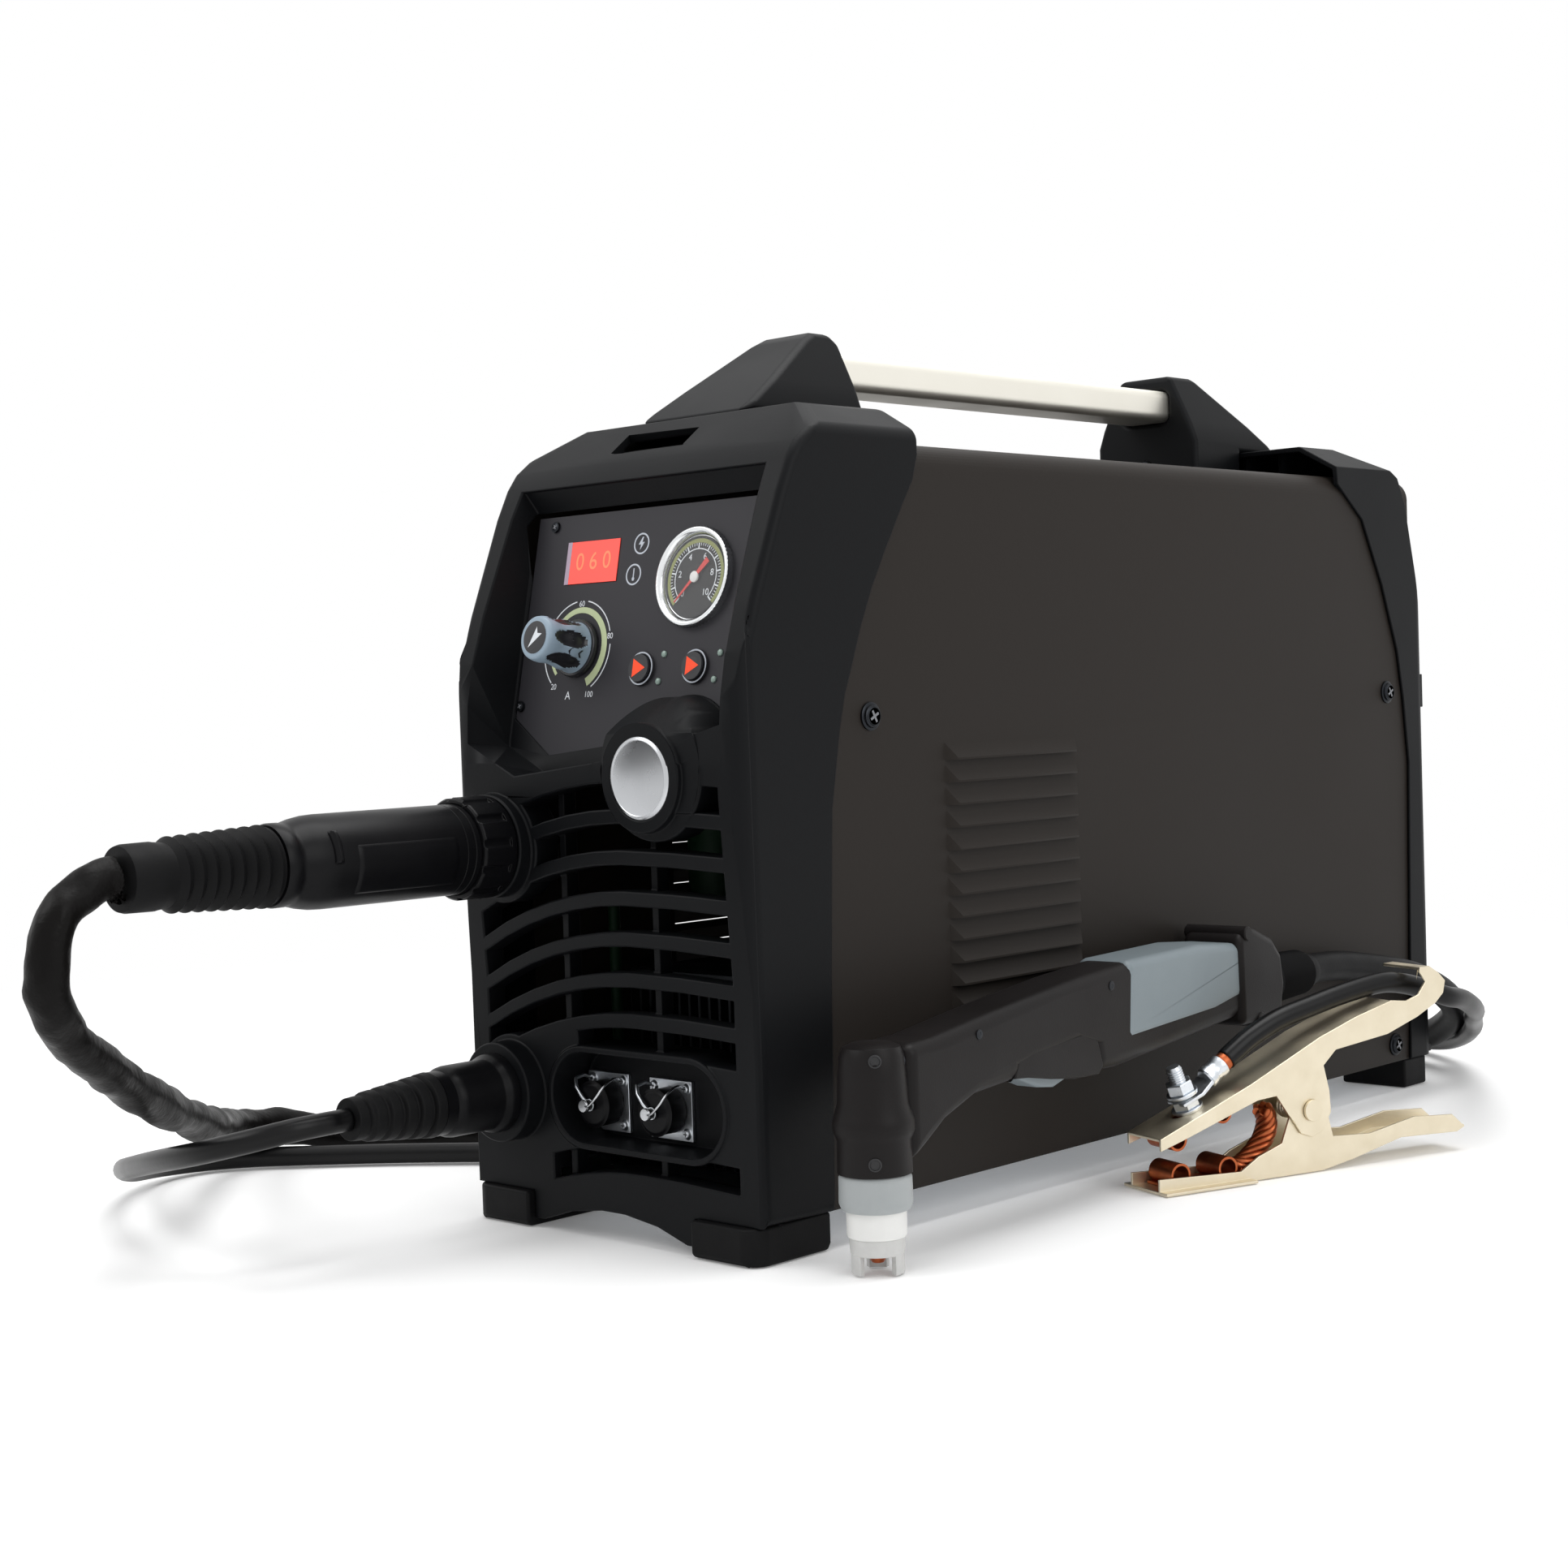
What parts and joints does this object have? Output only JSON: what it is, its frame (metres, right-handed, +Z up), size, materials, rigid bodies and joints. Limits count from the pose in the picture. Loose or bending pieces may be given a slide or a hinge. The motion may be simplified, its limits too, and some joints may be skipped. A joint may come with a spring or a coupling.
{
  "type": "plasma cutter",
  "caption": "Portable plasma cutter: moulded ends with a curved grille, louvred sheet cover, carry bar, cutting torch on a coiled hose lead and an earth clamp on its cable.",
  "frame": {"origin": "on the floor, at the centre of the rectangle of four holes in the feet", "axes": "+Z up, +Y from the control panel to the rear of the case, +X to the right as the panel is faced (the torch's side)"},
  "size_m": [0.6001, 0.968, 0.43],
  "materials": {
    "moulding": "fine satin moulding",
    "cover_paint": "satin powder coat",
    "zinc_sheet": "plated sheet",
    "rubber": "matte",
    "panel": "printed satin panel",
    "screw_steel": "plated",
    "display": "lit window",
    "knob": "satin",
    "button": "satin",
    "chrome": "polished",
    "needle": "matte",
    "glass": "clear",
    "badge": "satin",
    "bar": "satin",
    "brass": "turned",
    "connector": "satin",
    "leather": "worn",
    "hose": "satin",
    "cable": "glossy",
    "torch_shell": "satin moulding",
    "collar": "satin",
    "ceramic": "smooth",
    "shield": "frosted",
    "copper": "worn copper",
    "clamp_steel": "yellow plated",
    "heatsink": "extruded",
    "winding": "varnished",
    "board": "board"
  },
  "bodies": {
    "machine": {"front_bezel": "moulding", "rear_bezel": "moulding", "cover": "cover_paint", "base_plate": "zinc_sheet", "feet": "rubber", "control_panel": "panel", "case_screws": "screw_steel", "display_window": "display", "gauge_case": "chrome", "gauge_glass": "glass", "badge": "badge", "handle_bar": "bar", "front_bracket": "moulding", "rear_bracket": "moulding", "torch_socket": "brass", "torch_connector": "connector", "torch_bellows": "rubber", "torch_sleeve": "leather", "torch_coil": "hose", "torch_tail": "hose", "earth_socket": "brass", "earth_lead": "cable", "earth_coil": "cable", "earth_rear": "cable", "earth_tail": "cable", "port_sockets": "screw_steel", "torch_body": "torch_shell", "torch_grip": "knob", "torch_collar": "collar", "torch_ring": "ceramic", "drag_shield": "shield", "torch_tip": "copper", "torch_clamp": "torch_shell", "torch_relief": "rubber", "clamp_upper": "clamp_steel", "copper_upper": "copper", "clamp_stud": "screw_steel", "fan_frame": "connector", "heatsink": "heatsink", "transformer": "winding", "circuit_board": "board", "gas_valve": "brass", "rear_fittings": "connector", "gas_inlet": "brass"},
    "knob": {"current_knob": "knob"},
    "mode_button": {"button_mode": "button"},
    "gas_button": {"button_gas": "button"},
    "needle": {"gauge_needle": "needle"},
    "nut": {"ring_nut": "connector"},
    "plug": {"earth_plug": "connector", "earth_boot": "rubber"},
    "left_cap": {"cap_left": "connector"},
    "right_cap": {"cap_right": "connector"},
    "rotor": {"fan_rotor": "connector"},
    "switch": {"power_switch": "button"},
    "trigger": {"torch_trigger": "knob"},
    "clamp_jaw": {"clamp_lower": "clamp_steel", "copper_lower": "copper", "clamp_rivet": "clamp_steel"}
  },
  "joints": [
    {"name": "knob_turn", "type": "hinge", "parent": "machine", "child": "knob", "pos_m": [-0.04, -0.26918, 0.2765], "axis": [0, -0.9781, 0.2079], "range_deg": [-140, 140]},
    {"name": "mode_press", "type": "slide", "parent": "machine", "child": "mode_button", "axis": [0, 0.9781, -0.2079], "range_m": [0, 0.0008], "stiffness_N_per_m": 800},
    {"name": "gas_press", "type": "slide", "parent": "machine", "child": "gas_button", "axis": [0, 0.9781, -0.2079], "range_m": [0, 0.0008], "stiffness_N_per_m": 800},
    {"name": "needle_swing", "type": "hinge", "parent": "machine", "child": "needle", "pos_m": [0.036, -0.26278, 0.30663], "axis": [0, 0.9781, -0.2079], "range_deg": [0, 270], "stiffness_Nm_per_rad": 0.00002},
    {"name": "nut_turn", "type": "hinge", "parent": "machine", "child": "nut", "pos_m": [-0.068, -0.318, 0.1835], "axis": [0, 1, 0], "continuous": true},
    {"name": "plug_twist", "type": "hinge", "parent": "machine", "child": "plug", "pos_m": [-0.068, -0.33, 0.065], "axis": [0, -1, 0], "range_deg": [0, 90]},
    {"name": "left_cap_turn", "type": "hinge", "parent": "machine", "child": "left_cap", "pos_m": [-0.0215, -0.282, 0.0605], "axis": [0, 1, 0], "continuous": true},
    {"name": "right_cap_turn", "type": "hinge", "parent": "machine", "child": "right_cap", "pos_m": [0.021, -0.282, 0.0605], "axis": [0, 1, 0], "continuous": true},
    {"name": "fan_spin", "type": "hinge", "parent": "machine", "child": "rotor", "pos_m": [0, 0.28, 0.15], "axis": [0, 1, 0], "continuous": true},
    {"name": "switch_throw", "type": "hinge", "parent": "machine", "child": "switch", "pos_m": [-0.045, 0.301, 0.262], "axis": [1, 0, 0], "range_deg": [-60, 0]},
    {"name": "trigger_pull", "type": "hinge", "parent": "machine", "child": "trigger", "pos_m": [0.13485, -0.17226, 0.073], "axis": [0.9974, 0.0715, 0], "range_deg": [0, 6], "stiffness_Nm_per_rad": 1.2},
    {"name": "clamp_open", "type": "hinge", "parent": "machine", "child": "clamp_jaw", "pos_m": [0.17087, 0.01894, 0.0322], "axis": [0.9455, -0.3256, 0], "range_deg": [0, 20], "stiffness_Nm_per_rad": 2.5}
  ]
}
